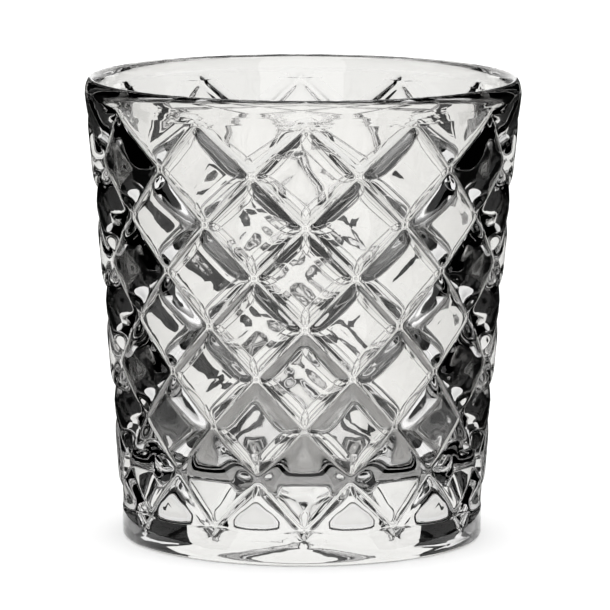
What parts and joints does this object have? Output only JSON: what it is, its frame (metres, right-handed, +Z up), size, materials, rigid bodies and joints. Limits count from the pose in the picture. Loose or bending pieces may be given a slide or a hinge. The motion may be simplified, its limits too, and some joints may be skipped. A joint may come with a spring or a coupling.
{
  "type": "whiskey tumbler",
  "caption": "Clear pressed-glass tumbler with tapered wall, plain rounded rim and foot bands, raised diamond pillows between V grooves outside, smooth inside and a thick dished base.",
  "frame": {"origin": "centre of the base, on the plane that the glass stands on", "axes": "+Z up along the axis of the glass, out of the mouth; a column of diamonds is centred on -Y"},
  "size_m": [0.088, 0.088, 0.0932],
  "materials": {
    "clear_glass": "clear, fire-polished"
  },
  "bodies": {
    "root": {"glass_body": "clear_glass"}
  },
  "joints": []
}
